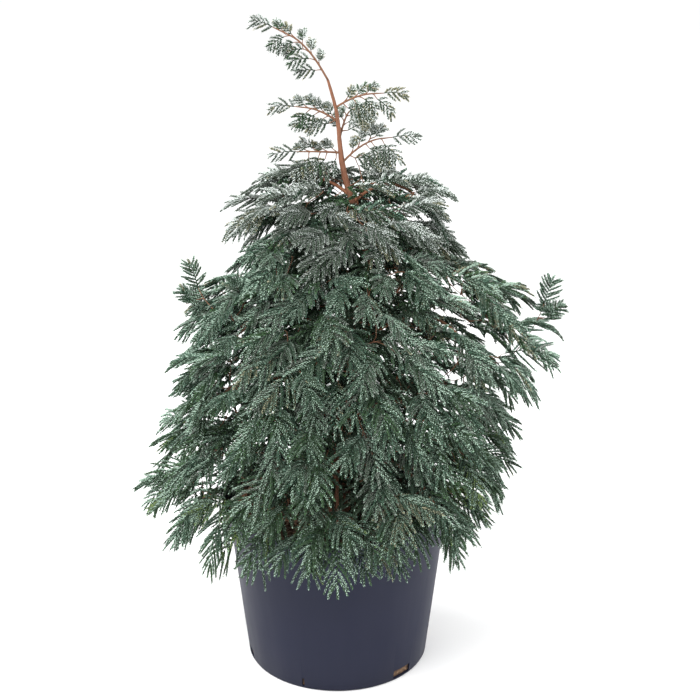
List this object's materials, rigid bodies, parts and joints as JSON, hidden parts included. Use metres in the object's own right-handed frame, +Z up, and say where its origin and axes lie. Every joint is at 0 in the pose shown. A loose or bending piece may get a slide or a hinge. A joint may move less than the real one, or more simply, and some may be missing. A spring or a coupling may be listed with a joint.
{
  "type": "potted boulevard sawara cypress",
  "caption": "Young dense conifer with soft blue-green needle sprays on tiers of drooping boughs, in a round dark plastic nursery pot.",
  "frame": {"origin": "centre of the pot's flat underside", "axes": "+Z up along the pot's axis and the trunk; -Y towards the front of the crown, +X to its right"},
  "size_m": [0.5048, 0.4491, 0.8051],
  "materials": {
    "pot": "satin moulded plastic, fine vertical scuffs",
    "soil": "coarse bark and peat, matt",
    "bark": "flaking red-brown bark, matt",
    "foliage_lower": "soft blue-green needles, matt",
    "foliage_upper": "soft silver-grey needles, matt"
  },
  "bodies": {
    "root": {"pot": "pot", "soil": "soil", "trunk": "bark", "bough_skirt_1": "bark", "bough_skirt_2": "bark", "bough_skirt_3": "bark", "bough_skirt_4": "bark", "bough_skirt_5": "bark", "bough_skirt_6": "bark", "bough_skirt_7": "bark", "bough_skirt_8": "bark", "bough_middle_1": "bark", "bough_middle_2": "bark", "bough_middle_3": "bark", "bough_middle_4": "bark", "bough_middle_5": "bark", "bough_middle_6": "bark", "bough_middle_7": "bark", "bough_upper_1": "bark", "bough_upper_2": "bark", "bough_upper_3": "bark", "bough_upper_4": "bark", "bough_upper_5": "bark", "bough_upper_6": "bark", "bough_shoulder_1": "bark", "bough_shoulder_2": "bark", "bough_shoulder_3": "bark", "bough_shoulder_4": "bark", "foliage_skirt_1": "foliage_lower", "foliage_skirt_2": "foliage_lower", "foliage_skirt_3": "foliage_lower", "foliage_skirt_4": "foliage_lower", "foliage_skirt_5": "foliage_lower", "foliage_skirt_6": "foliage_lower", "foliage_skirt_7": "foliage_lower", "foliage_skirt_8": "foliage_lower", "foliage_middle_1": "foliage_lower", "foliage_middle_2": "foliage_lower", "foliage_middle_3": "foliage_lower", "foliage_middle_4": "foliage_lower", "foliage_middle_5": "foliage_lower", "foliage_middle_6": "foliage_lower", "foliage_middle_7": "foliage_lower", "foliage_upper_1": "foliage_upper", "foliage_upper_2": "foliage_upper", "foliage_upper_3": "foliage_upper", "foliage_upper_4": "foliage_upper", "foliage_upper_5": "foliage_upper", "foliage_upper_6": "foliage_upper", "foliage_shoulder_1": "foliage_upper", "foliage_shoulder_2": "foliage_upper", "foliage_shoulder_3": "foliage_upper", "foliage_shoulder_4": "foliage_upper", "foliage_top_right_high": "foliage_upper", "foliage_top_left_high": "foliage_upper", "foliage_top_back": "foliage_upper", "foliage_top_left_low": "foliage_upper", "foliage_top_right_low": "foliage_upper", "foliage_leader": "foliage_upper"}
  },
  "joints": []
}
